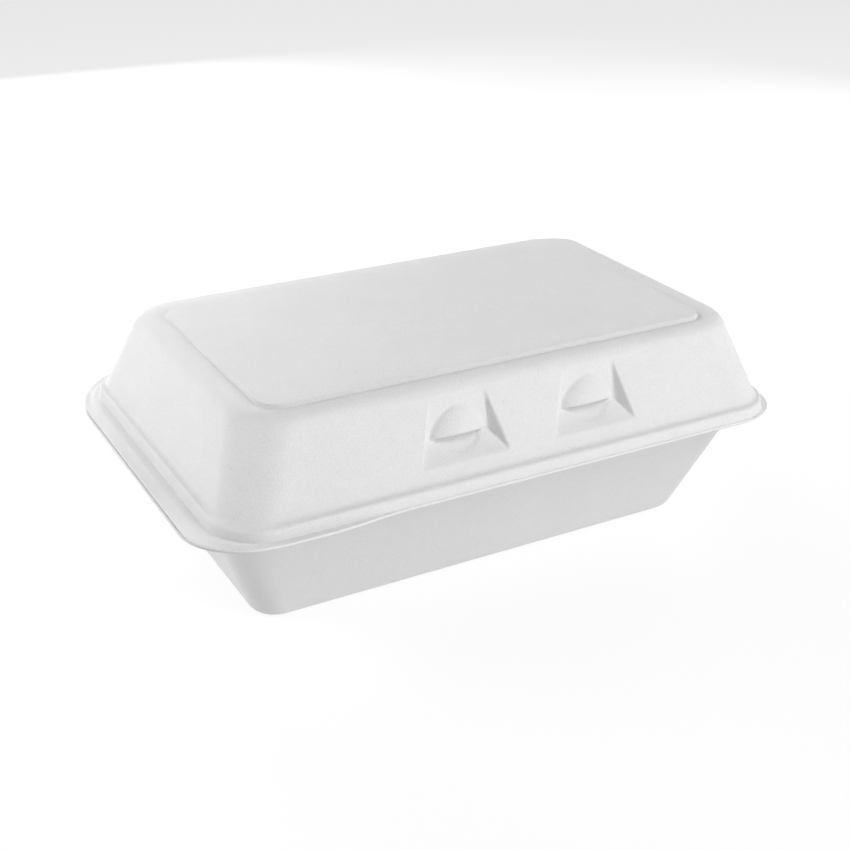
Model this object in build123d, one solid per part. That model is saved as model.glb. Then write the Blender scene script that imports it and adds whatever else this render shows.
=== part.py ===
from build123d import *
from math import cos, hypot, radians, tan
import os

# Foam hinged-lid food container: a deep tray and its lid, thermoformed from one sheet.
# Millimetres. +Z is up, the hinge runs along X at the back (+Y), the locks face front (-Y).
# The origin is at the middle of the whole container's box, on the surface that it stands on.
# Sizes that fit each other follow from the lid's top outline, its height and the named clearances.

# ---- sheet -----------------------------------------------------------------------------------
foam = 2.2                  # wall of the expanded sheet
pressed_foam = 1.3          # flange, where the mould presses the sheet thin
seam_gap = 0.2              # between the two flanges when shut

# ---- lid -----------------------------------------------------------------------------------
lid_height = 84.1           # shoulder level above the table
lid_top_length = 192.8      # sharp outline of the top, before its shoulder is rounded
lid_top_width = 118.2
lid_draft = 19.6            # degrees from vertical
lid_top_corner = 16.8       # plan radius of the wall's corner at the top
lid_foot_corner = 15.5      # and where the wall meets the ledge
shoulder_round = 8.2
panel_end_margin = 9.6     # from the sharp outline of the top to the raised panel
panel_front_margin = 6.2
panel_back_margin = 13.9    # the panel sits nearer to the locks than to the hinge
panel_corner = 7.5
panel_rise = 1.2
panel_round = 0.5

# stepped rim of the lid: a ledge at the foot of the wall, a riser, then the flange
ledge_width = 2.2
ledge_round = 1.2
riser_height = 4.2
riser_lean = 0.4

# trimmed flange, from the riser's foot: the sheet was trimmed off centre
flange_left = 7.6
flange_right = 4.1
flange_front = 0.4
flange_back = 11.4          # wide, for the hinge
rim_front_corner = 20.5     # plan radius of the trimmed corners
rim_back_corner = 38.0
lid_overhang = 2.5          # the tray's flange stops this far behind the lid's front edge

# ---- tray ----------------------------------------------------------------------------------
rim_height = 46.4           # underside of the tray's flange above the table
tray_end_inset = 0.95       # top of the tray's wall, in from the foot of the lid's wall
tray_side_inset = 9.15
tray_draft = 21.2           # degrees from vertical
tray_foot_corner = 9.5      # plan radius of the wall's corner at the foot
tray_rim_corner = 14.3      # and at the flange
tray_foot_round = 8.0       # rounding between wall and underside

# bead of the tray, which nests inside the lid's riser
bead_clearance = 0.5
bead_headroom = 0.4

# ---- locks on the lid's front wall -----------------------------------------------------------
lock_spacing = 51.8
lock_middle = 2.6           # middle of the pair, right of the lid's middle
lock_drop = 5.1             # from the lid's shoulder down to the pocket's mouth
lock_lip = 0.8              # height of the small slope that leads into the pocket
lock_lip_depth = 1.2        # top of the pocket's back behind the wall's face
lock_back = 13.4            # height of the pocket's back
lock_shelf = 5.9            # height of the shelf, which runs out into the wall
lock_depth = 4.6            # inner corner behind the wall's face
lock_top_width = 21.0
lock_fold_width = 24.2
lock_foot_width = 31.8
dome_radius = 9.2           # ball of the half dome
dome_bulge = 4.3            # how far it stands out of the pocket's back
dome_rise = 2.4             # middle and lower lip of the dome, above the inner corner
print_radius = 8.5          # round print pressed into the shelf under the dome
print_rise = 1.8            # its middle, up from the inner corner
print_depth = 0.4

# ---- tongues of the tray, which stand up behind the lock pockets ------------------------------
tongue_width = 18.0
tongue_reach = 8.8          # height of the tongue above the pocket's inner corner
tongue_lean = 11.0          # degrees, so that the swinging pocket passes it
tongue_gap = 0.5            # to the back of the pocket, shut
tongue_corner = 5.0

# ---- hinge: the thin fold that joins the two flanges along the back ---------------------------
hinge_end_gap = 2.8         # from the strip's ends to the flange's rounded corners
hinge_bead = 0.9            # radius of the folded strip
hinge_clearance = 0.4       # from the strip to the flanges' edges

# ---- places that follow from the sizes ---------------------------------------------------------
tray_flange_top = rim_height + pressed_foam
lid_flange_bottom = tray_flange_top + seam_gap
lid_flange_top = lid_flange_bottom + pressed_foam
ledge_height = lid_flange_top + riser_height

tray_slope = tan(radians(tray_draft))       # millimetres out per millimetre up
lid_slope = tan(radians(lid_draft))         # millimetres out per millimetre down
tray_wall = foam / cos(radians(tray_draft)) # the sheet, measured level through the wall
lid_wall = foam / cos(radians(lid_draft))

wall_foot_length = lid_top_length + 2 * (lid_height - ledge_height) * lid_slope
wall_foot_width = lid_top_width + 2 * (lid_height - ledge_height) * lid_slope
riser_reach = ledge_width + riser_lean      # foot of the riser, out from the wall's foot
nest_reach = riser_reach - foam             # and its inside
tray_foot_length = wall_foot_length - 2 * tray_end_inset - 2 * rim_height * tray_slope
tray_foot_width = wall_foot_width - 2 * tray_side_inset - 2 * rim_height * tray_slope

# the trimmed edge, from the middle of tray and lid
rim_left = wall_foot_length / 2 + riser_reach + flange_left
rim_right = wall_foot_length / 2 + riser_reach + flange_right
rim_front = wall_foot_width / 2 + riser_reach + flange_front
rim_back = wall_foot_width / 2 + riser_reach + flange_back

# the middle of tray and lid, and the hinge's axis, with the whole box centred on the origin
hinge_offset = hinge_bead + hinge_clearance
shell_x = (rim_left - rim_right) / 2
shell_y = (rim_front - rim_back - hinge_offset - hinge_bead) / 2
hinge_y = shell_y + rim_back + hinge_offset
hinge_z = (tray_flange_top + lid_flange_bottom) / 2
hinge_length = rim_left + rim_right - 2 * rim_back_corner - 2 * hinge_end_gap

lock_top = lid_height - lock_drop - lock_lip
lock_fold = lock_top - lock_back            # inner corner, where the back meets the shelf
lock_foot = lock_fold - lock_shelf
dome_centre = lock_fold + dome_rise
tongue_top = lock_fold + tongue_reach


def level(length, width, corner, height):
    """A level rounded rectangle about the middle of tray and lid."""
    return Pos(shell_x, shell_y, height) * RectangleRounded(length, width, corner)


def frustum(foot, top):
    """A block with straight leaning walls between two level outlines."""
    return loft([level(*foot), level(*top)], ruled=True)


def prism(length, width, corner, bottom, top):
    """A block with upright walls."""
    return extrude(level(length, width, corner, bottom), top - bottom)


def lowest_edges(block):
    return block.edges().group_by(Axis.Z)[0]


def highest_edges(block):
    return block.edges().group_by(Axis.Z)[-1]


def flange(bottom, front_reach):
    """A trimmed flange, with tighter corners at the front than at the hinge."""
    outline = Rectangle(rim_left + rim_right, rim_back + front_reach)
    outline = fillet(outline.vertices().group_by(Axis.Y)[0], rim_front_corner)
    outline = fillet(outline.vertices().group_by(Axis.Y)[-1], rim_back_corner)
    middle_y = shell_y + (rim_back - front_reach) / 2
    return Pos(0, middle_y, bottom) * extrude(outline, pressed_foam)


# ---- tray --------------------------------------------------------------------------------------
def tub(inset, bottom, top, rounding):
    """Outer or inner form of the tray, with its rounded foot."""
    def outline(height):
        growth = 2 * (tray_slope * height - inset)
        corner = tray_foot_corner + (tray_rim_corner - tray_foot_corner) * height / rim_height
        return (tray_foot_length + growth, tray_foot_width + growth, corner, height)
    block = frustum(outline(bottom), outline(top))
    return fillet(lowest_edges(block), rounding)


def bead():
    """Raised ring on the tray's flange, which nests inside the lid's riser."""
    reach = nest_reach - riser_lean - bead_clearance
    length = wall_foot_length + 2 * reach
    width = wall_foot_width + 2 * reach
    corner = lid_foot_corner + reach
    top = ledge_height - foam - bead_headroom
    ring = prism(length, width, corner, rim_height, top)
    hole = prism(length - 2 * foam, width - 2 * foam, corner - foam, tray_flange_top, top)
    return ring - hole


def tongue():
    """Upright tongue on the tray's front rim, leaning in behind a lock pocket."""
    front_y = fold_y + foam + tongue_gap
    foot_y = front_y - (lock_fold - foam - rim_height) * tan(radians(tongue_lean))
    length = (tongue_top - rim_height) / cos(radians(tongue_lean))
    slab = Box(tongue_width, foam, length, align=(Align.CENTER, Align.MIN, Align.MIN))
    slab = fillet(slab.edges().filter_by(Axis.Y).group_by(Axis.Z)[-1], tongue_corner)
    return Pos(0, foot_y, rim_height) * Rot(-tongue_lean, 0, 0) * slab


def make_tray():
    tray = tub(0, 0, rim_height, tray_foot_round)
    tray += flange(rim_height, rim_front - lid_overhang)
    tray += bead()
    tray -= tub(tray_wall, foam, tray_flange_top, tray_foot_round - foam)
    for place in lock_places():
        tray += place * tongue()
    return tray


# ---- lock pocket ---------------------------------------------------------------------------------
def wall_y(height):
    """Outer face of the lid's front wall at a height."""
    return shell_y - lid_top_width / 2 - (lid_height - height) * lid_slope


# The pocket's back and its shelf are planes; each lean is millimetres in y per millimetre up.
fold_y = wall_y(lock_fold) + lock_depth
back_lean = (wall_y(lock_top) + lock_lip_depth - fold_y) / (lock_top - lock_fold)
shelf_lean = (fold_y - wall_y(lock_foot)) / (lock_fold - lock_foot)


def lock_places():
    middle = shell_x + lock_middle
    return [Pos(middle + side * lock_spacing / 2, 0, 0) for side in (-1, 1)]


def pocket(grow):
    """The wedge cut into the front wall; with grow, the foam that backs it too."""
    back_shift = grow * hypot(1, back_lean)
    shelf_shift = grow * hypot(1, shelf_lean)
    fold = lock_fold + (back_shift - shelf_shift) / (shelf_lean - back_lean)
    corner_y = fold_y + back_shift + back_lean * (fold - lock_fold)
    top = lock_top + grow
    top_y = corner_y + back_lean * (top - fold)
    foot = fold + (corner_y - wall_y(fold)) / (lid_slope - shelf_lean)
    flare = (lock_foot_width - lock_fold_width) / 2 / (lock_fold - lock_foot)
    half_top = lock_top_width / 2 + grow
    half_fold = lock_fold_width / 2 + grow
    half_foot = half_fold + (fold - foot) * flare

    def side(sign):
        outward = Vector(0, -3 * foam, 0)
        corners = {
            "mouth": Vector(sign * half_top, wall_y(top + lock_lip), top + lock_lip),
            "top": Vector(sign * half_top, top_y, top),
            "fold": Vector(sign * half_fold, corner_y, fold),
            "foot": Vector(sign * half_foot, wall_y(foot), foot),
        }
        corners["mouth_out"] = corners["mouth"] + outward
        corners["foot_out"] = corners["foot"] + outward
        return corners

    def face(*corners):
        return Face(Wire.make_polygon(corners, close=True))

    left, right = side(-1), side(1)
    ring = ["mouth", "top", "fold", "foot", "foot_out", "mouth_out", "mouth"]
    faces = [face(left[a], right[a], right[b], left[b]) for a, b in zip(ring, ring[1:])]
    for corners in (left, right):
        faces.append(face(corners["mouth"], corners["top"], corners["fold"]))
        faces.append(face(corners["mouth"], corners["fold"], corners["foot"]))
        faces.append(face(corners["mouth"], corners["foot"], corners["foot_out"],
                          corners["mouth_out"]))
    return Solid(Shell(faces))


def dome(shrink):
    """Half dome standing out of the pocket's back; with shrink, the hollow behind it."""
    back_y = fold_y + back_lean * (dome_centre - lock_fold)
    ball_y = back_y + dome_radius - dome_bulge
    ball = Pos(0, ball_y, dome_centre) * Sphere(dome_radius - shrink)
    # the underside slopes from the pocket's inner corner out to the lip
    run = fold_y - (back_y - dome_bulge)
    size = 4 * dome_radius
    underside = Plane(origin=(0, fold_y, lock_fold), x_dir=(1, 0, 0), z_dir=(0, dome_rise, run))
    above = Box(size, size, size, align=(Align.CENTER, Align.CENTER, Align.MIN))
    return ball & (underside.offset(shrink) * above)


def dome_skin():
    """The dome's outer form, down to the middle of the foam behind it."""
    back_y = fold_y + back_lean * (dome_centre - lock_fold)
    size = 4 * dome_radius
    front = Box(size, size, size, align=(Align.CENTER, Align.MAX, Align.CENTER))
    return dome(0) & (Pos(0, back_y + foam / 2, dome_centre) * front)


def shelf_print():
    """Shallow rounded print on the shelf, under the dome."""
    shelf = Plane(origin=(0, fold_y, lock_fold), x_dir=(1, 0, 0), z_dir=(0, -1, shelf_lean))
    disc = shelf * Pos(0, print_rise, 0) * Cylinder(print_radius, 2 * print_depth)
    return disc & pocket(print_depth)


# ---- lid -------------------------------------------------------------------------------------------
def cap(inset, top, rounding):
    """Outer or inner form of the lid above its ledge, with its rounded shoulder."""
    head_growth = 2 * ((lid_height - top) * lid_slope - inset)
    foot = (wall_foot_length - 2 * inset, wall_foot_width - 2 * inset, lid_foot_corner, ledge_height)
    head = (lid_top_length + head_growth, lid_top_width + head_growth, lid_top_corner, top)
    return fillet(highest_edges(frustum(foot, head)), rounding)


def step(reach_top, reach_bottom, corner, top):
    """A block under the lid's ledge, reaching out from the foot of the wall."""
    return frustum(
        (wall_foot_length + 2 * reach_bottom, wall_foot_width + 2 * reach_bottom, corner,
         lid_flange_bottom),
        (wall_foot_length + 2 * reach_top, wall_foot_width + 2 * reach_top, corner, top))


def make_lid():
    outer = cap(0, lid_height, shoulder_round)
    panel_length = lid_top_length - 2 * panel_end_margin
    panel_width = lid_top_width - panel_front_margin - panel_back_margin
    panel_place = Pos(0, (panel_front_margin - panel_back_margin) / 2, 0)
    panel = panel_place * prism(
        panel_length, panel_width, panel_corner, lid_height, lid_height + panel_rise)
    riser = step(ledge_width, riser_reach, lid_foot_corner + ledge_width, ledge_height)
    lid = outer + fillet(highest_edges(panel), panel_round)
    lid += fillet(highest_edges(riser), ledge_round)
    lid += flange(lid_flange_bottom, rim_front)

    lid -= cap(lid_wall, lid_height - foam, shoulder_round - foam)
    lid -= panel_place * prism(
        panel_length - 2 * foam, panel_width - 2 * foam, panel_corner - foam,
        lid_height - 2 * foam, lid_height + panel_rise - foam)
    lid -= step(ledge_width - foam, nest_reach, lid_foot_corner + nest_reach, ledge_height - foam)
    lid -= prism(wall_foot_length - 2 * lid_wall, wall_foot_width - 2 * lid_wall, lid_foot_corner,
                 lid_flange_bottom, ledge_height)
    for place in lock_places():
        lid += place * (pocket(foam) & (place.inverse() * outer))
        lid -= place * pocket(0)
        lid += place * dome_skin()
        lid -= place * dome(foam)
        lid -= place * shelf_print()
    return lid


# ---- hinge -----------------------------------------------------------------------------------------
def make_hinge_strip():
    return Pos(0, hinge_y, hinge_z) * Rot(0, 90, 0) * Cylinder(hinge_bead, hinge_length)


pieces = {"tray": make_tray(), "lid": make_lid(), "hinge_strip": make_hinge_strip()}
os.makedirs("parts", exist_ok=True)
for name, shape in pieces.items():
    export_step(shape, f"parts/{name}.step")
    print(name, round(shape.volume / 1000, 2), "cm3", shape.bounding_box())
print("hinge axis at y", round(hinge_y, 3), "z", round(hinge_z, 3), "middle line at y", round(shell_y, 3))
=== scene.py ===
# %% [markdown]
# # A foam hinged-lid food container
# The real container is one sheet of expanded polystyrene, warmed and pressed between two moulds.
# The sheet is folded along the back, so one half is a deep tray and the other half is its lid.
# This lesson builds both halves, the fold and the snap locks as smooth meshes of foam 2.2 mm thick,
# gives them a fine grained foam finish, and sets them on a pale table in soft studio light.

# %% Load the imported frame
import bmesh
import bpy
import numpy as np
from math import atan2, ceil, cos, hypot, pi, radians, sin, tan
from mathutils import Matrix, Vector


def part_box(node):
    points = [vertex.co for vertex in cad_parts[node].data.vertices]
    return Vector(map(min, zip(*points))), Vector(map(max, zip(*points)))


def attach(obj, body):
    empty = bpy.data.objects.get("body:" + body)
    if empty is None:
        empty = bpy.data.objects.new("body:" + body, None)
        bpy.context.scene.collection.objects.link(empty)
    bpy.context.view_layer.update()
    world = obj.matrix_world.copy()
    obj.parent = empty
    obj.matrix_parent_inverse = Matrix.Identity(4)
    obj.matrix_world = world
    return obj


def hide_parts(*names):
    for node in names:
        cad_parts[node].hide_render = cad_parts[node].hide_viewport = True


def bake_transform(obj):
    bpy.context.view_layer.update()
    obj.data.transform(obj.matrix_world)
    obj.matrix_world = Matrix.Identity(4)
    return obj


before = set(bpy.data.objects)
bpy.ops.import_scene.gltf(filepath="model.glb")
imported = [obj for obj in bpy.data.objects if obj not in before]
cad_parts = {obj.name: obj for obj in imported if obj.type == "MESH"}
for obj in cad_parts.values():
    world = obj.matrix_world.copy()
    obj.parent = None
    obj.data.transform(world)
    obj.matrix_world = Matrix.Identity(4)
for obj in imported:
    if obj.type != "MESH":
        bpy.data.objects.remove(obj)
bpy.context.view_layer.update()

# %% [markdown]
# The sizes are kept in millimetres, as a mould maker would state them, and turned into metres
# only when a mesh is made. Everything is laid out from the middle of tray and lid, which is not
# quite the middle of the whole box, because the sheet was trimmed a little off centre.

# %% Sizes of the mould
MM = 0.001
FOAM = 2.2                  # the expanded sheet
PRESSED = 1.3               # the flange, where the mould presses the sheet thin
RIM_UNDERSIDE = 46.4        # underside of the tray's flange above the table
SEAM = 0.2                  # between the two flanges when shut
PANEL_RISE = 1.2            # the raised panel above the lid's shoulder
LID_DRAFT = radians(19.6)   # how far each wall leans
TRAY_DRAFT = radians(21.2)

TRAY_RIM_TOP = RIM_UNDERSIDE + PRESSED
LID_RIM_UNDERSIDE = TRAY_RIM_TOP + SEAM
LID_RIM_TOP = LID_RIM_UNDERSIDE + PRESSED
LEDGE = LID_RIM_TOP + 4.2   # the lid's ledge, above its riser

lid_low, lid_high = (np.array(corner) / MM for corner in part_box("lid"))
LID_HEIGHT = lid_high[2] - PANEL_RISE
LID_TOP = (96.4, 59.1)      # half length and half width of the top, as if its edge were sharp
LID_SLOPE = tan(LID_DRAFT)
LID_WALL = FOAM / cos(LID_DRAFT)
WALL_FOOT = (LID_HEIGHT - LEDGE) * LID_SLOPE
RISER_REACH = WALL_FOOT + 2.6
RIM_REACH = dict(left=LID_TOP[0] + RISER_REACH + 7.6, right=LID_TOP[0] + RISER_REACH + 4.1,
                 front=LID_TOP[1] + RISER_REACH + 0.4, back=LID_TOP[1] + RISER_REACH + 11.4)
MIDDLE = np.array([lid_low[0] + RIM_REACH["left"], lid_high[1] - RIM_REACH["back"]])
print("middle of the shells:", MIDDLE.round(2), " ledge at", LEDGE, " shoulder at", round(LID_HEIGHT, 2))
print("the wall's foot stands out", round(WALL_FOOT, 2), "mm from the top's outline")

# %% [markdown]
# Tray and lid are drafted shells: every level cut through them is a rounded rectangle. So both can
# be swept from rings. A ring has a fixed number of points, placed side by side and corner by
# corner, and two neighbouring rings are joined by quads. This keeps the edge flow clean, and each
# rounding costs only a few more rings, where a boolean model would leave long thin triangles.

# %% Rings round the container
def spaced(start, end, step):
    """Values from start up to, but not including, end."""
    count = max(1, ceil(abs(end - start) / step))
    return np.linspace(start, end, count, endpoint=False)


class Columns:
    """Where the points of every ring sit: along the four sides, and round the four corners.

    The front takes a list of places from -1 to 1, and the others a number of even steps.
    """

    def __init__(self, front, side=28, back=45, corner=18):
        self.front = (np.array(front) + 1) / 2
        self.right = self.left = np.arange(side) / side
        self.back = np.arange(back) / back
        self.turn = np.arange(corner) / corner
        self.count = len(self.front) + 2 * len(self.right) + len(self.back) + 4 * corner

    def ring(self, left, right, front, back, front_corner, back_corner, height):
        """One level rounded rectangle, given by its reach to each side of the middle."""
        parts = []
        for start, end, steps, angle in (
            ((-left, -front), (right, -front), self.front, -90),
            ((right, -front), (right, back), self.right, 0),
            ((right, back), (-left, back), self.back, 90),
            ((-left, back), (-left, -front), self.left, 180),
        ):
            start, end = np.array(start), np.array(end)
            along = (end - start) / np.linalg.norm(end - start)
            first = front_corner if angle in (-90, 0) else back_corner
            last = front_corner if angle in (-90, 180) else back_corner
            low, high = start + along * first, end - along * last
            parts.append(low + steps[:, None] * (high - low))
            turn = np.radians(angle + 90 * self.turn)[:, None]
            inward = np.array([-along[1], along[0]])
            centre = high + inward * last
            parts.append(centre + last * np.hstack([np.cos(turn), np.sin(turn)]))
        flat = np.vstack(parts) + MIDDLE
        return np.column_stack([flat, np.full(len(flat), height)])

    def even(self, half_length, half_width, corner, height):
        """A ring with the same reach to both sides and one corner radius."""
        corner = min(max(corner, 0.6), half_length - 0.1, half_width - 0.1)
        return self.ring(half_length, half_length, half_width, half_width, corner, corner, height)


# %% [markdown]
# A mould has no sharp edge: foam sheet bends round every corner with a radius of its own. The
# helper below takes a profile as a few corner points, each with its radius, and puts a true arc in
# place of each corner. The arc touches both runs, so the shading flows over it without a break.

# %% Profiles with rounded corners
def rounded(corners, degrees=14):
    """(out, up) points of a profile, from (out, up, radius) corners."""
    path = [np.array(corners[0][:2], float)]
    for before, corner, after in zip(corners, corners[1:], corners[2:]):
        point = np.array(corner[:2], float)
        come = point - np.array(before[:2])
        leave = np.array(after[:2]) - point
        come_length, leave_length = np.linalg.norm(come), np.linalg.norm(leave)
        come, leave = come / come_length, leave / leave_length
        turn = atan2(come[0] * leave[1] - come[1] * leave[0], come @ leave)
        if corner[2] == 0 or abs(turn) < 0.02:
            path.append(point)
            continue
        cut = min(corner[2] * abs(tan(turn / 2)), 0.49 * come_length, 0.49 * leave_length)
        radius = cut / abs(tan(turn / 2))
        side = np.array([-come[1], come[0]]) * (1 if turn > 0 else -1)
        centre = point - come * cut + side * radius
        for part in np.linspace(0, 1, max(3, ceil(abs(turn) / radians(degrees)) + 1)):
            angle = turn * part
            spoke = -side * radius
            path.append(centre + np.array([
                spoke[0] * cos(angle) - spoke[1] * sin(angle),
                spoke[0] * sin(angle) + spoke[1] * cos(angle)]))
    path.append(np.array(corners[-1][:2], float))
    return path


def refined(path, low, high, step):
    """The same profile, with close points on the runs between two heights."""
    result = [path[0]]
    for start, end in zip(path, path[1:]):
        inside = low <= (start[1] + end[1]) / 2 <= high
        count = ceil(abs(end[1] - start[1]) / step) if inside else 1
        result += [start + (end - start) * k / max(1, count) for k in range(1, max(1, count) + 1)]
    return result


# %% [markdown]
# A list of rings becomes a closed skin: quads join ring to ring, and one flat face closes each
# end. The first ring lies in the middle of the outside and the last in the middle of the inside,
# so one pass goes over the outside, round the trimmed edge and back along the inside.

# %% From rings to a mesh
def shell(name, rings):
    """A closed smooth mesh through a list of rings."""
    count = len(rings[0])
    points = np.vstack(rings) * MM
    column = np.arange(count)
    beside = (column + 1) % count
    quads = [np.column_stack([row * count + column, row * count + beside,
                              (row + 1) * count + beside, (row + 1) * count + column])
             for row in range(len(rings) - 1)]
    faces = np.vstack(quads)[:, ::-1].tolist()
    faces.append(column.tolist())
    faces.append((column[::-1] + (len(rings) - 1) * count).tolist())
    mesh = bpy.data.meshes.new(name)
    mesh.from_pydata(points.tolist(), [], faces)
    mesh.shade_smooth()
    piece = bpy.data.objects.new(name, mesh)
    bpy.context.scene.collection.objects.link(piece)
    triangles = sum(len(face) - 2 for face in faces)
    print(f"{name}: {len(points)} points, {triangles} triangles")
    return piece


def between(first, last, part, height):
    """A ring part of the way from one ring to another, at its own height."""
    ring = first + (last - first) * part
    ring[:, 2] = height
    return ring


# %% [markdown]
# The lid's wall leans in by 19.6 degrees, so that formed containers stack and leave the mould.
# At its foot the sheet steps out over a narrow ledge and down a riser to the flat flange. These
# two steps stiffen the rim, and the ring on the tray nests inside them.

# %% The lid's wall
def wall_out(height):
    """How far the lid's wall stands out from its sharp top outline."""
    return (LID_HEIGHT - max(height, LEDGE)) * LID_SLOPE


def lid_ring(columns, out, height):
    """A ring of the lid that stands out from the sharp top outline."""
    drop = (LID_HEIGHT - max(height, LEDGE)) / (LID_HEIGHT - LEDGE)
    corner = 16.8 - 1.3 * drop + out - wall_out(height)
    return columns.even(LID_TOP[0] + out, LID_TOP[1] + out, corner, height)


print("the wall stands out", round(wall_out(65), 2), "mm at the height of the locks")

# %% [markdown]
# The two locks are wedge-shaped pockets in the front wall. Each has a back that leans in, a shelf
# that runs out again, two slanting cheeks and a half dome in the middle. Behind them stand the
# tray's tongues. Seen from the front the whole lock is a relief, with no hidden overhang, so it
# can be made as a depth over the wall: planes for the pocket, a rounded bulge for the dome. A
# boolean cut would give the same form but hard edges; here a soft minimum joins the planes.

# %% The pocket's planes
LOCKS_MIDDLE, LOCKS_APART = 2.6, 51.8       # the pair stands a little right of the lid's middle
LOCKS = (LOCKS_MIDDLE - LOCKS_APART / 2, LOCKS_MIDDLE + LOCKS_APART / 2)
POCKET = dict(
    mouth=(10.5, 79.0, 0.0),                # half width, height, depth behind the wall's face
    top=(10.5, 78.5, 0.5),
    fold=(12.1, 64.8, 4.6),
    foot=(16.8, 58.5, 0.0),
)


def plane(*corners):
    """depth = a * half width + b * height + c, through three corners of the pocket."""
    rows = [(POCKET[name][0], POCKET[name][1], 1.0) for name in corners]
    return np.linalg.solve(rows, [POCKET[name][2] for name in corners])


def level_plane(upper, lower):
    """A plane that doesn't change across the pocket."""
    (_, high, high_depth), (_, low, low_depth) = POCKET[upper], POCKET[lower]
    slope = (high_depth - low_depth) / (high - low)
    return np.array([0.0, slope, low_depth - slope * low])


BACK, SHELF, LIP = level_plane("top", "fold"), level_plane("fold", "foot"), level_plane("mouth", "top")
CHEEK, RETURN = plane("mouth", "fold", "foot"), plane("mouth", "top", "fold")
print("cheek slope", CHEEK.round(3), "shelf slope", SHELF.round(3))


# %% [markdown]
# The same planes give the inside of the pocket: moved back along their own slope by the foam's
# thickness, they are the surface that the fingers feel inside the lid.

# %% Depth of a lock
def soft_min(first, second, radius):
    """The smaller of two depths, with a rounded corner where they meet."""
    overlap = np.maximum(radius - np.abs(first - second), 0) / radius
    return np.minimum(first, second) - overlap ** 2 * radius / 4


def soft_max(first, second, radius):
    """The larger of two depths, rounded in the same way."""
    return -soft_min(-first, -second, radius)


def sheet_plane(coefficients, across, height, thickness):
    """A pocket plane, or the inside face of the foam behind it."""
    slope_x, slope_z, start = coefficients
    behind = thickness * hypot(1, slope_x, slope_z + LID_SLOPE)
    return slope_x * across + slope_z * height + start + behind


def pocket_depth(across, height, thickness):
    """Depth of the wedge-shaped pocket behind the wall's face."""
    faces = [sheet_plane(face, np.abs(across), height, thickness)
             for face in (BACK, SHELF, LIP, CHEEK, RETURN)]
    side = soft_max(faces[3], faces[4], 0.2)
    wedge = soft_min(soft_min(faces[0], faces[1], 0.4), faces[2], 0.4)
    return soft_min(wedge, side, 0.25)


# %% [markdown]
# The half dome is a hood that stands out of the pocket's back, steep round its rim and blunt in
# front. Its underside is cut back from the lip, and the shelf below it is hollowed out a little
# further, so a dark lens shows under each dome. Below that the mould's plug leaves a shallow round
# print on the shelf.

# %% The dome and the print
DOME = dict(lip=67.0, half_width=10.3, rise=8.8, bulge=3.6)     # the lip is its lower front edge
HOLLOW = dict(half_width=9.9, depth=1.3, fade=2.0)
PRINT = dict(radius=8.5, depth=0.5)
FOLD_HEIGHT, FOLD_DEPTH = POCKET["fold"][1:]


def eased(part):
    """0 to 1, with a gentle start and end."""
    part = np.clip(part, 0, 1)
    return part * part * (3 - 2 * part)


def dome_depth(across, height, thickness):
    """Depth of the dome's surface, and of its cut-back underside."""
    above = np.maximum(height - DOME["lip"], 0) / DOME["rise"]
    spread = (across / DOME["half_width"]) ** 2 + above ** 1.3
    bulge = DOME["bulge"] * np.maximum(1 - spread, 0) ** 0.65
    crown = BACK[1] * height + BACK[2] - bulge + thickness * 1.15
    under = (DOME["lip"] - height) * 2.6 + thickness * 2.8
    return soft_max(crown, under, 0.4)


def hollow_depth(across, height):
    """Depth of the lens-shaped hollow in the shelf, under the dome."""
    lower_edge = FOLD_HEIGHT - 2.0 + 1.3 * (across / 9.4) ** 2
    sideways = np.clip((HOLLOW["half_width"] - np.abs(across)) / HOLLOW["fade"], 0, 1)
    return HOLLOW["depth"] * eased(np.clip((height - lower_edge) / 0.8, 0, 1) * sideways)


def print_depth(across, height):
    """Depth of the rounded print on the shelf."""
    along = (FOLD_HEIGHT - height) * 1.51 + 1.8
    inside = (PRINT["radius"] - np.hypot(across, along)) / 0.5
    return PRINT["depth"] * eased(inside) * (height < FOLD_HEIGHT + 0.4)


def lock_depth(across, height, thickness=0.0):
    """Depth of the whole lock: wall, pocket, dome and print."""
    pocket = pocket_depth(across, height, thickness)
    if thickness == 0:
        pocket = soft_max(pocket, np.zeros_like(pocket), 0.3)
        near_fold = np.abs(height - FOLD_HEIGHT) < 3
        pocket = pocket + near_fold * hollow_depth(across, height)
    depth = soft_min(pocket, dome_depth(across, height, thickness), 0.4)
    return depth + print_depth(across, height)


# %% [markdown]
# The depth is now pressed into the rings that cross the front wall. On the outside the wall goes
# in where the pocket is deeper than the wall's face, and on the inside the backing foam comes out
# only where it stands proud of the plain inner wall.

# %% Pressing the locks into a ring
def press_locks(ring, height, thickness=0.0):
    """Moves a ring's front points to the surface of the locks."""
    front = np.flatnonzero(ring[:, 1] < ring[:, 1].min() + 0.01)
    face = MIDDLE[1] - LID_TOP[1] - wall_out(height)
    for middle in LOCKS:
        across = ring[front, 0] - MIDDLE[0] - middle
        near = front[np.abs(across) < 20]
        across = ring[near, 0] - MIDDLE[0] - middle
        depth = lock_depth(across, height, thickness)
        if thickness == 0:
            ring[near, 1] += depth
        else:
            ring[near, 1] = soft_max(ring[near, 1], face + depth, 0.5)
    return ring


# %% [markdown]
# The columns of the lid stand close together where they cross the locks, about half a millimetre
# apart, and a few millimetres apart elsewhere. So the relief is fine where it is needed and the
# whole lid stays light.

# %% Columns of the lid
CLOSE = (-0.49, 0.57)       # the stretch of the front wall that holds both locks
lid_columns = Columns(np.concatenate([
    spaced(-1, CLOSE[0], 0.035), spaced(*CLOSE, 0.0056), spaced(CLOSE[1], 1, 0.035)]), corner=22)
print("columns round the lid:", lid_columns.count)

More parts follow.
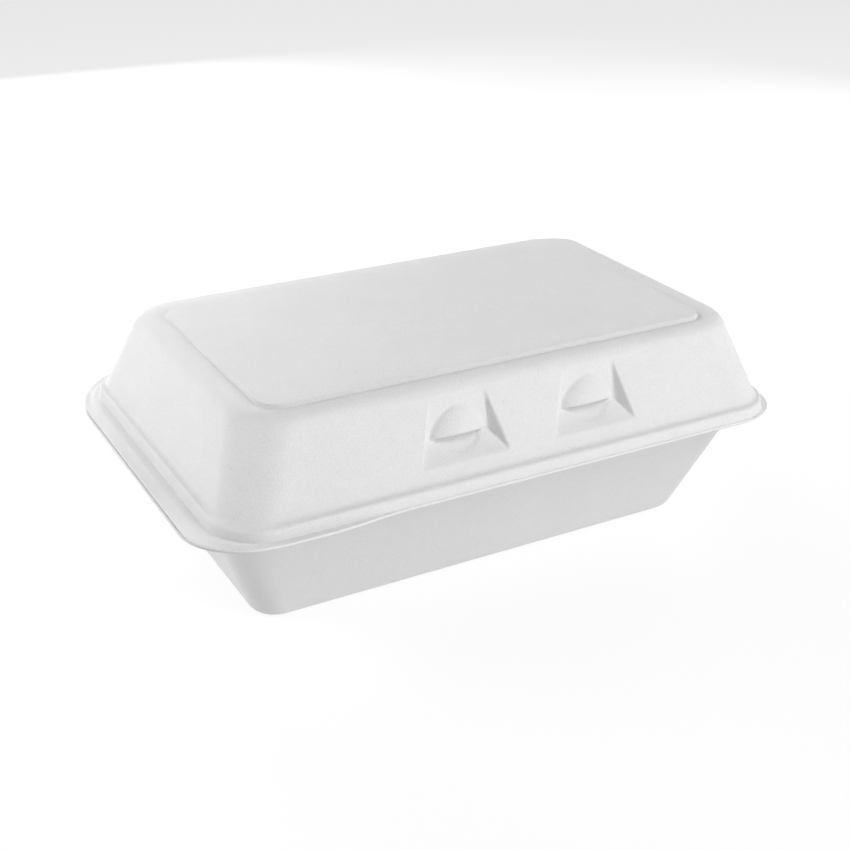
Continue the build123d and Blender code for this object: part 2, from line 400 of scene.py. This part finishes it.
# %% [markdown]
# The outside of the lid, from the middle outwards. The panel is a plateau 1.2 mm above the
# shoulder, pressed up so that stacked containers don't slide. It sits nearer to the locks than to
# the hinge and falls a millimetre towards the back. Its foot is a narrow groove, a little lower
# than the shoulder round it.

# %% The lid's top panel
PANEL = dict(left=87.6, right=85.6, front=52.9, back=45.2, corner=7.5)
PANEL_FALL = 1.0
PANEL_TOP = LID_HEIGHT + PANEL_RISE
GROOVE = LID_HEIGHT - 0.4


def panel_ring(out, height, tilted=True):
    """A ring of the panel, or a little outside it. The panel is lower towards the back."""
    corner = max(PANEL["corner"] + out, 1.2)
    sides = [PANEL[side] + out for side in ("left", "right", "front", "back")]
    ring = lid_columns.ring(*sides, corner, corner, height)
    if tilted:
        from_front = ring[:, 1] - MIDDLE[1] + PANEL["front"]
        ring[:, 2] -= PANEL_FALL * from_front / (PANEL["front"] + PANEL["back"])
    return ring


lid_rings = [panel_ring(-inset, PANEL_TOP) for inset in (44, 38, 24, 12, 5, 2)]
edge = rounded([(-1.2, PANEL_TOP, 0), (-0.1, PANEL_TOP, 0.4), (0.35, GROOVE, 0.2), (0.7, GROOVE, 0)])
lid_rings += [panel_ring(out, height, tilted=height > LID_HEIGHT) for out, height in edge]
print(len(lid_rings), "rings over the panel")

# %% [markdown]
# Behind the panel the top rolls off gently towards the hinge. The roll is strongest on top and
# fades out down the back wall, so the wall itself stays straight.

# %% The slope behind the panel
ROLL = dict(start=PANEL["back"] + 0.6, width=9.7, slope=0.09, curve=0.004, foot=75.0, fade=9.0)


def rolled_back(ring, height):
    """A ring of the lid's outside, lowered behind the panel. Below the roll's foot it stays."""
    behind = np.clip(ring[:, 1] - MIDDLE[1] - ROLL["start"], 0, ROLL["width"])
    drop = ROLL["slope"] * behind + ROLL["curve"] * behind ** 2
    ring[:, 2] -= drop * max(height - ROLL["foot"], 0) / ROLL["fade"]
    return ring


last_slope = ROLL["slope"] + 2 * ROLL["curve"] * ROLL["width"]
print("behind the panel the slope grows from", ROLL["slope"], "to", round(last_slope, 3))

# %% [markdown]
# Next the rounded shoulder, the wall with the locks, and the stepped rim. The wall's rings lie
# half a millimetre apart at the height of the locks.

# %% The lid's shoulder, wall and riser
outside = rounded([
    (-7.5, LID_HEIGHT, 0),
    (0.0, LID_HEIGHT, 8.2),
    (WALL_FOOT - 0.12, LEDGE + 0.35, 2.2),
    (WALL_FOOT + 2.2, LEDGE - 0.15, 1.3),
    (RISER_REACH, LID_RIM_TOP, 0.7),
    (RISER_REACH + 1, LID_RIM_TOP, 0),
], degrees=9)
outside = [point for point in outside if point[0] > -5.3]
foot, land = lid_rings[-1], lid_ring(lid_columns, *outside[0])
for part in (0.12, 0.3, 0.55, 0.8):
    ring = between(foot, land, part, LID_HEIGHT - 0.4 * (1 - part) ** 3)
    lid_rings.append(rolled_back(ring, LID_HEIGHT))
for out, height in refined(outside[:-1], 57.0, 80.5, 0.48):
    ring = lid_ring(lid_columns, out, height)
    if 57 < height < 81:
        ring = press_locks(ring, height)
    lid_rings.append(rolled_back(ring, height))
print(len(lid_rings), "rings down to the flange")

# %% [markdown]
# The flange is cut by a trimming die, so its edge has its own outline: tight corners at the front,
# wide ones at the hinge, and almost no width along the front. Its rings run straight from the
# riser's foot to that outline. A faint step shows where the die holds the sheet.

# %% Trimmed flanges
FRONT_CORNER, BACK_CORNER = 20.5, 38.0
WIDE_CUT = dict(depth=2.3, starts=46, grows=30, ends=112, fades=24)    # left of the middle


def trimmed(columns, inset, height, front=RIM_REACH["front"]):
    """A ring along the trimmed edge. Near the front left corner the cut runs a little wide."""
    ring = columns.ring(RIM_REACH["left"] - inset, RIM_REACH["right"] - inset, front - inset,
                        RIM_REACH["back"] - inset, FRONT_CORNER - inset, BACK_CORNER - inset, height)
    leftward = MIDDLE[0] - ring[:, 0]
    wide = (np.clip((leftward - WIDE_CUT["starts"]) / WIDE_CUT["grows"], 0, 1)
            * np.clip((WIDE_CUT["ends"] - leftward) / WIDE_CUT["fades"], 0, 1))
    ring[:, 1] -= WIDE_CUT["depth"] * eased(wide) * (ring[:, 1] < MIDDLE[1])
    return ring


def flange_rings(columns, inner, bottom, front=RIM_REACH["front"]):
    """Rings over a flange, round its edge and back along its underside."""
    top = bottom + PRESSED
    edge = trimmed(columns, 0.45, top, front)
    rings = [between(inner, edge, part, top - sink)
             for part, sink in ((0.08, 0), (0.3, 0), (0.46, 0), (0.52, 0.12), (0.8, 0.12), (1, 0.12))]
    for out, height in rounded([(-0.45, top - 0.12, 0), (0, top - 0.12, 0.42),
                                (-0.45, bottom, 0.4), (-0.95, bottom, 0)], degrees=25)[1:]:
        rings.append(trimmed(columns, -out, height, front))
    return rings


lid_rings += flange_rings(lid_columns, lid_rings[-1], LID_RIM_UNDERSIDE)
print(len(lid_rings), "rings to the trimmed edge")

# %% [markdown]
# The inside follows the outside at the foam's thickness. Where the flange was pressed thin the
# inside runs flat, then it climbs inside the riser and up the wall.

# %% The lid's inside
inside = rounded([
    (WALL_FOOT + 1.6, LID_RIM_UNDERSIDE, 0),
    (WALL_FOOT + 0.4, LID_RIM_UNDERSIDE, 0.5),
    (WALL_FOOT + 0.1, LEDGE - FOAM, 0.8),
    (WALL_FOOT - LID_WALL + FOAM * LID_SLOPE * 0.2, LEDGE - FOAM + 0.1, 0.8),
    (-LID_WALL + FOAM * LID_SLOPE, LID_HEIGHT - FOAM, 6.0),
    (-8.6, LID_HEIGHT - FOAM, 0),
], degrees=14)
for out, height in refined(inside, 55.0, 79.0, 0.8):
    ring = lid_ring(lid_columns, out, height)
    if 54.5 < height < 79.5:
        ring = press_locks(ring, height, FOAM)
    lid_rings.append(ring)
print(len(lid_rings), "rings up the inside of the wall")

# %% [markdown]
# Under the panel the inside is a recess of the same outline, less the foam. With its rings in
# place, the lid is one closed skin.

# %% The recess under the panel
ceiling, recess = LID_HEIGHT - FOAM, PANEL_TOP - FOAM
lid_rings.append(panel_ring(-2.6, ceiling, tilted=False))
lid_rings.append(panel_ring(-3.2, ceiling + 0.4))
lid_rings += [panel_ring(-inset, recess) for inset in (3.5, 8, 20, 38, 43)]
lid = shell("lid_shell", lid_rings)

# %% [markdown]
# The tray is the deeper half. Its walls lean out by 21.2 degrees from a flat underside with a
# generous rounding, which keeps the corners of thin foam from splitting. It has no relief, so its
# columns can be further apart.

# %% The tray's wall
TRAY_SLOPE = tan(TRAY_DRAFT)
TRAY_WALL = FOAM / cos(TRAY_DRAFT)
TRAY_FOOT = (LID_TOP[0] + WALL_FOOT - 0.95 - RIM_UNDERSIDE * TRAY_SLOPE,
             LID_TOP[1] + WALL_FOOT - 9.15 - RIM_UNDERSIDE * TRAY_SLOPE)


def tray_ring(columns, out, height):
    """A ring of the tray that stands out from the sharp outline of its underside."""
    corner = 9.5 + 4.8 * min(height, RIM_UNDERSIDE) / RIM_UNDERSIDE + out - TRAY_SLOPE * height
    return columns.even(TRAY_FOOT[0] + out, TRAY_FOOT[1] + out, corner, height)


tray_columns = Columns(spaced(-1, 1, 0.04), corner=20)
tray_rings = [tray_ring(tray_columns, -inset, 0.0) for inset in (41, 30, 18, 11)]
under = rounded([
    (-8, 0, 0),
    (0, 0, 8.0),
    (TRAY_SLOPE * RIM_UNDERSIDE, RIM_UNDERSIDE, 0.9),
    (TRAY_SLOPE * RIM_UNDERSIDE + 1.2, RIM_UNDERSIDE, 0),
], degrees=8)
for out, height in refined(under[1:], 8, 44, 5):
    tray_rings.append(tray_ring(tray_columns, out, height))
print(len(tray_rings), "rings up the outside of the tray")

# %% [markdown]
# On top of the tray's flange stands a ring of foam, the bead. It nests inside the lid's riser and
# keeps the shut container in line. The profile runs in from the trimmed edge, over the bead, across
# the shelf behind it and down the inner wall to the floor.

# %% The tray's flange, bead and inside
TRAY_FRONT = RIM_REACH["front"] - 2.5       # the tray's flange stops behind the lid's
BEAD = (LID_TOP[0] + WALL_FOOT - 0.5, LID_TOP[1] + WALL_FOOT - 0.5, 15.0)
BEAD_TOP = LEDGE - FOAM - 0.4


def bead_ring(out, height):
    """A ring of the bead, by its distance out from the bead's outer face."""
    return tray_columns.even(BEAD[0] + out, BEAD[1] + out, BEAD[2] + out, height)


underside_edge = trimmed(tray_columns, 0.45, RIM_UNDERSIDE, TRAY_FRONT)
tray_rings += [between(tray_rings[-1], underside_edge, part, RIM_UNDERSIDE) for part in (0.3, 0.7)]
edge = rounded([(-0.45, RIM_UNDERSIDE, 0), (0, RIM_UNDERSIDE, 0.42), (0, TRAY_RIM_TOP, 0.42),
                (-0.45, TRAY_RIM_TOP, 0)], degrees=25)
tray_rings += [trimmed(tray_columns, -out, height, TRAY_FRONT) for out, height in edge]
bead_foot = bead_ring(0.25, TRAY_RIM_TOP)
tray_rings += [between(tray_rings[-1], bead_foot, part, TRAY_RIM_TOP) for part in (0.4, 0.9)]
bead = rounded([(0.25, TRAY_RIM_TOP, 0), (0, TRAY_RIM_TOP, 0.2), (0, BEAD_TOP, 0.9),
                (-FOAM, BEAD_TOP, 0.9), (-FOAM, TRAY_RIM_TOP + 0.6, 0)], degrees=20)
tray_rings += [bead_ring(out, height) for out, height in bead]
inner_top = tray_ring(tray_columns, TRAY_SLOPE * (TRAY_RIM_TOP - 0.8) - TRAY_WALL, TRAY_RIM_TOP)
tray_rings += [between(tray_rings[-1], inner_top, part, TRAY_RIM_TOP + up)
               for part, up in ((0.06, 0.15), (0.2, 0), (0.8, 0), (0.93, -0.15), (0.99, -0.5))]
within = rounded([
    (TRAY_SLOPE * (TRAY_RIM_TOP - 1) - TRAY_WALL, TRAY_RIM_TOP - 1, 0),
    (TRAY_SLOPE * FOAM - TRAY_WALL, FOAM, 5.8),
    (-14, FOAM, 0),
], degrees=10)
tray_rings += [tray_ring(tray_columns, out, height) for out, height in refined(within, 8, 47, 6)]
tray_rings += [tray_ring(tray_columns, -inset, FOAM) for inset in (24, 34, 41)]
tray = shell("tray_shell", tray_rings)

# %% [markdown]
# Two tongues stand on the tray's front rim, one behind each lock pocket. When the container is
# pressed shut they spring under the fold of the pocket. Each is a short slab with rounded upper
# corners and soft edges, cut from an outline and bevelled.

# %% The lock tongues
TONGUE = dict(width=18.0, top=73.6, lean=11.0, corner=5.0, gap=0.5)


def tongue(name, middle):
    """A rounded slab that leans in behind a lock."""
    lean = radians(TONGUE["lean"])
    fold = -LID_TOP[1] - wall_out(FOLD_HEIGHT) + FOLD_DEPTH
    front = fold + FOAM + TONGUE["gap"]
    foot = front - (FOLD_HEIGHT - FOAM - RIM_UNDERSIDE) * tan(lean)
    length = (TONGUE["top"] - RIM_UNDERSIDE) / cos(lean)
    half, corner = TONGUE["width"] / 2, TONGUE["corner"]
    outline = [(-half, 0), (half, 0)]
    for centre, start in ((half - corner, 0), (corner - half, 90)):
        for step in range(9):
            angle = radians(start + 90 * step / 8)
            outline.append((centre + corner * cos(angle), length - corner + corner * sin(angle)))
    work = bmesh.new()
    face = work.faces.new([work.verts.new((x * MM, 0, z * MM)) for x, z in outline])
    lifted = bmesh.ops.extrude_face_region(work, geom=[face])["geom"]
    moved = [item for item in lifted if isinstance(item, bmesh.types.BMVert)]
    bmesh.ops.translate(work, verts=moved, vec=(0, FOAM * MM, 0))
    bmesh.ops.recalc_face_normals(work, faces=work.faces)
    rim = [edge for edge in work.edges if edge.calc_face_angle(0) > radians(60)]
    bmesh.ops.bevel(work, geom=rim, offset=0.6 * MM, segments=3, profile=0.5, affect="EDGES")
    place = Vector((MIDDLE[0] + middle, MIDDLE[1] + foot, RIM_UNDERSIDE)) * MM
    work.transform(Matrix.Translation(place) @ Matrix.Rotation(-lean, 4, "X"))
    mesh = bpy.data.meshes.new(name)
    work.to_mesh(mesh)
    work.free()
    mesh.shade_smooth()
    piece = bpy.data.objects.new(name, mesh)
    bpy.context.scene.collection.objects.link(piece)
    print(f"{name}: top at {max(v.co.z for v in mesh.vertices) / MM:.1f} mm")
    return piece


tongues = [tongue(f"lock_tongue_{side}", middle) for side, middle in zip(("left", "right"), LOCKS)]

# %% [markdown]
# The hinge is the same sheet, pressed so thin that it folds. Shut, it wraps round the back edges of
# both flanges like the spine of a book. It is swept along the back as a small C-shaped section, in
# the shape it has when the container is shut.

# %% The folded hinge
BACK_EDGE = MIDDLE[1] + RIM_REACH["back"]
HINGE_HEIGHT = TRAY_RIM_TOP + SEAM / 2
HINGE_HALF = 76.0           # half the length of the fold


def hinge_section(bulge):
    """(back, up) points round the skin's outside and back along its inside."""
    outer, inner = [], []
    for step in range(13):
        angle = radians(-90 + 180 * step / 12)
        outer.append((0.15 + (1.55 + bulge) * cos(angle), 1.25 * sin(angle)))
        inner.append((-0.1 + (0.75 + bulge) * cos(angle), 0.3 * sin(angle)))
    start, end = [(-0.9, -1.2), (-0.9, -0.35)], [(-0.9, 0.35), (-0.9, 1.2)]
    return start[:1] + outer + end[::-1] + inner[::-1] + start[1:]


sections = []
for x in np.linspace(-HINGE_HALF, HINGE_HALF, 96):
    fade = min(1.0, (HINGE_HALF - abs(x)) / 3)
    ripple = 0.1 * sin(x * 0.21) + 0.06 * sin(x * 0.53 + 1)
    sections.append([(x, BACK_EDGE + back * (0.4 + 0.6 * fade), HINGE_HEIGHT + up)
                     for back, up in hinge_section(ripple * fade)])
hinge = shell("hinge_skin", [np.array(section) for section in sections])
print("hinge skin", round(2 * HINGE_HALF), "mm long at height", round(HINGE_HEIGHT, 2))

# %% [markdown]
# Foam sheet looks plain white from afar, but close up it has a skin of tiny flattened beads. The
# finish is written as arithmetic on shader values: one small class wraps a node's output, and an
# expression such as 1 - mask adds the Math node for it.

# %% A small class for shader values
class Wire:
    """One output of a material's nodes, usable in plain arithmetic."""

    def __init__(self, socket):
        self.socket = socket

    def node(self, kind, settings=None, inputs=None, output=0):
        """Adds any node to this material: settings first, then its sockets."""
        tree = self.socket.id_data
        made = tree.nodes.new(kind)
        for name, value in (settings or {}).items():
            setattr(made, name, value)
        for name, value in (inputs or {}).items():
            if isinstance(value, Wire):
                tree.links.new(value.socket, made.inputs[name])
            else:
                made.inputs[name].default_value = value
        return Wire(made.outputs[output])

    def math(self, operation, first, second):
        """A Math node of this material."""
        return self.node("ShaderNodeMath", {"operation": operation}, {0: first, 1: second})

    def __add__(self, other):
        return self.math("ADD", self, other)

    def __radd__(self, other):
        return self.math("ADD", other, self)

    def __sub__(self, other):
        return self.math("SUBTRACT", self, other)

    def __rsub__(self, other):
        return self.math("SUBTRACT", other, self)

    def __mul__(self, other):
        return self.math("MULTIPLY", self, other)

    def mapped(self, low, high, to_low=0.0, to_high=1.0):
        """This value brought from one range to another, and held inside it."""
        return self.node("ShaderNodeMapRange", {"interpolation_type": "SMOOTHSTEP"}, {
            "Value": self, "From Min": low, "From Max": high, "To Min": to_low, "To Max": to_high})

    def blended(self, first, second):
        """A mix of two colours, by this value."""
        return self.node("ShaderNodeMix", {"data_type": "RGBA"},
                         {"Factor": self, 6: first, 7: second}, output=2)


# %% [markdown]
# Three things make the foam: a grain of beads about half a millimetre wide, which the light
# catches as a fine orange peel; a faint cloudiness, because the sheet is denser in some places; and
# a few tiny dark pits where a bead has burst. The flanges and the hinge were pressed thin, so the
# grain is flatter there and the surface a little smoother.

# %% The foam finish
def foam_finish(name, tone, grain, pressed_band=None):
    """White expanded polystyrene sheet."""
    material = bpy.data.materials.new(name)
    material.use_nodes = True
    tree = material.node_tree
    shader = tree.nodes["Principled BSDF"]
    place = Wire(tree.nodes.new("ShaderNodeTexCoord").outputs["Object"])

    def noise(size, detail, roughness=0.5):
        return place.node("ShaderNodeTexNoise", None, {
            "Vector": place, "Scale": 1 / (size * MM), "Detail": detail, "Roughness": roughness})

    beads = noise(0.45, 2.0, 0.6)
    clouds = noise(22.0, 2.0)
    patches = noise(4.5, 2.0)
    cells = place.node("ShaderNodeTexVoronoi", None, {"Vector": place, "Scale": 1 / (9.0 * MM)})
    pits = 1 - cells.mapped(0.02, 0.045)

    dull, bright = (tone * 0.955,) * 3 + (1,), (tone * 1.045,) * 3 + (1,)
    cloudy = (clouds * 0.15 + patches * 0.1 + beads * 0.75).mapped(0.32, 0.68)
    colour = cloudy.blended(dull, bright)
    colour = (pits * 0.22).blended(colour, (tone * 0.6,) * 3 + (1,))

    relief = beads * grain
    roughness = 0.56 + beads * 0.16
    if pressed_band:
        height = place.node("ShaderNodeSeparateXYZ", None, {0: place}, output=2)
        low, high = (level * MM for level in pressed_band)
        pressed = height.mapped(low - 0.0006, low) * (1 - height.mapped(high, high + 0.0006))
        relief = relief * (1 - pressed * 0.55)
        roughness = roughness - pressed * 0.08
    relief = relief + patches * 0.05 - pits * 0.12
    normal = place.node("ShaderNodeBump", None, {
        "Height": relief * MM, "Strength": 1.0, "Distance": 1.0})
    for socket, value in (("Base Color", colour), ("Roughness", roughness), ("Normal", normal)):
        tree.links.new(value.socket, shader.inputs[socket])
    shader.inputs["IOR"].default_value = 1.45
    shader.inputs["Specular IOR Level"].default_value = 0.35
    print(f"{name}: {len(tree.nodes)} nodes")
    return material


# %% [markdown]
# Each body gets its own version of the finish, so that the grain of the lid isn't the grain of the tray.
# The tray's version also has a darker tone, though tray and lid are one sheet: this is painted shade
# for the tray's walls, which lean outward beneath the lid's flange and so face a little down. The
# hinge is the thinnest and smoothest.

# %% Finishes on the pieces
LID_FOAM = foam_finish("lid_foam", 0.79, 0.27, (LID_RIM_UNDERSIDE - 0.1, LID_RIM_TOP + 0.1))
# painted shade: the tray's foam, and the tongues', has tone 0.655 against the lid's 0.79, standing in
# for the shade on the tray's walls
TRAY_FOAM_PAINTED_SHADE = foam_finish("tray_foam", 0.655, 0.24, (RIM_UNDERSIDE - 0.1, TRAY_RIM_TOP + 0.1))
HINGE_FOAM = foam_finish("pressed_foam", 0.78, 0.12)
for piece, material in ((lid, LID_FOAM), (tray, TRAY_FOAM_PAINTED_SHADE), (hinge, HINGE_FOAM),
                        *((tongue_piece, TRAY_FOAM_PAINTED_SHADE) for tongue_piece in tongues)):
    piece.data.materials.append(material)
for node, material in (("lid", LID_FOAM), ("tray", TRAY_FOAM_PAINTED_SHADE), ("hinge_strip", HINGE_FOAM)):
    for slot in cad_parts[node].material_slots:
        slot.material = material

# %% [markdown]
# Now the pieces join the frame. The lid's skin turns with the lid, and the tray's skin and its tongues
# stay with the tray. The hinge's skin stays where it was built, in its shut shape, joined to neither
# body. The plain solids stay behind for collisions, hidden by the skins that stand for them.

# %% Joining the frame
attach(lid, "lid")
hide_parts("lid")
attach(tray, "tray")
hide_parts("tray")
for tongue_piece in tongues:
    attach(tongue_piece, "tray")
BACK_EDGE * MM
BACK_EDGE * MM
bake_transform(hinge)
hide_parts("hinge_strip")
print("pieces joined:", [piece.name for piece in (lid, tray, hinge, *tongues)])

# %% [markdown]
# The table is one wide pale sheet. White foam reads as white only against something whiter, so the
# table glows a little, like the lit tables on which such goods are shown.

# %% The table
def table():
    """A flat white sheet, eight metres square."""
    mesh = bpy.data.meshes.new("table")
    corners = [(-4, -4, 0), (4, -4, 0), (4, 4, 0), (-4, 4, 0)]
    mesh.from_pydata(corners, [], [(0, 1, 2, 3)])
    piece = bpy.data.objects.new("table", mesh)
    bpy.context.scene.collection.objects.link(piece)
    material = bpy.data.materials.new("table_white")
    material.use_nodes = True
    shader = material.node_tree.nodes["Principled BSDF"]
    shader.inputs["Base Color"].default_value = (0.25, 0.25, 0.25, 1)
    shader.inputs["Roughness"].default_value = 0.9
    shader.inputs["Specular IOR Level"].default_value = 0.0
    shader.inputs["Emission Color"].default_value = (1, 1, 1, 1)
    shader.inputs["Emission Strength"].default_value = 0.78
    mesh.materials.append(material)
    return piece


table()

# %% [markdown]
# Soft light from several sides shows white foam best: each face of the container then has its own
# shade of grey. A lamp is placed by the direction it shines from, as seen from above, and by its
# height, and it always points at the container.

# %% The lights
def softbox(name, azimuth, elevation, distance, size, power):
    """A square soft light. Azimuth 0 is in front of the locks, and 90 is at the left end."""
    lamp = bpy.data.lights.new(name, "AREA")
    lamp.shape = "SQUARE"
    lamp.size = size
    lamp.energy = power
    piece = bpy.data.objects.new(name, lamp)
    bpy.context.scene.collection.objects.link(piece)
    level = distance * cos(radians(elevation))
    aim = Vector((0, 0, 0.04))
    place = aim + Vector((-level * sin(radians(azimuth)), -level * cos(radians(azimuth)),
                          distance * sin(radians(elevation))))
    piece.location = place
    piece.rotation_euler = (place - aim).to_track_quat("Z", "Y").to_euler()
    return piece


softbox("front_softbox", -25, 37, 1.3, 0.8, 9.7)
softbox("low_softbox", -27, 11, 1.3, 0.8, 4.0)
softbox("left_softbox", 116, 22, 0.8, 0.5, 3.9)
softbox("right_softbox", -112, 22, 0.85, 0.5, 2.0)
softbox("back_softbox", 180, 18, 0.85, 0.5, 4.8)
softbox("top_softbox", 80, 62, 0.7, 0.5, 0.6)
lamps = [item.name for item in bpy.context.scene.objects if item.type == "LIGHT"]
print(len(lamps), "lights:", lamps)

# %% [markdown]
# Very weak white surroundings keep the deepest folds from going black.

# %% The surroundings
world = bpy.data.worlds.new("studio")
world.use_nodes = True
world.node_tree.nodes["Background"].inputs["Color"].default_value = (1, 1, 1, 1)
world.node_tree.nodes["Background"].inputs["Strength"].default_value = 0.02
bpy.context.scene.world = world
bpy.context.scene.view_settings.view_transform = "Standard"

# %% [markdown]
# The camera looks down on the container's front left corner, 29 degrees round from the front and
# 26 degrees up, from about half a metre. Its axes are built one by one: the direction back from the
# view, the level direction to the right with a slight roll, and the direction up.

# %% The camera
VIEW = dict(azimuth=28.992, elevation=25.627, roll=-0.4087)
LENS, SENSOR = 58.27, 36                    # focal length and sensor width, in mm
AIM = (1.0898, 33.570, 542.91)              # the shells' middle, across, down and away, in mm


def camera():
    """A camera that looks at the container from the direction above."""
    azimuth, elevation, roll = (radians(VIEW[key]) for key in ("azimuth", "elevation", "roll"))
    back = Vector((-sin(azimuth) * cos(elevation), -cos(azimuth) * cos(elevation), sin(elevation)))
    level = (-back).cross(Vector((0, 0, 1))).normalized()
    down = (-back).cross(level)
    right = level * cos(roll) + down * sin(roll)
    down = down * cos(roll) - level * sin(roll)
    middle = Vector((MIDDLE[0], MIDDLE[1], 0))
    place = middle - right * AIM[0] - down * AIM[1] + back * AIM[2]
    lens = bpy.data.cameras.new("camera")
    lens.lens = LENS
    lens.sensor_width = SENSOR
    lens.clip_start = 0.01
    piece = bpy.data.objects.new("camera", lens)
    bpy.context.scene.collection.objects.link(piece)
    turn = Matrix((right, -down, back)).transposed()
    piece.matrix_world = Matrix.Translation(place * MM) @ turn.to_4x4()
    bpy.context.scene.camera = piece
    print("camera at", [round(v) for v in place], "mm")


camera()
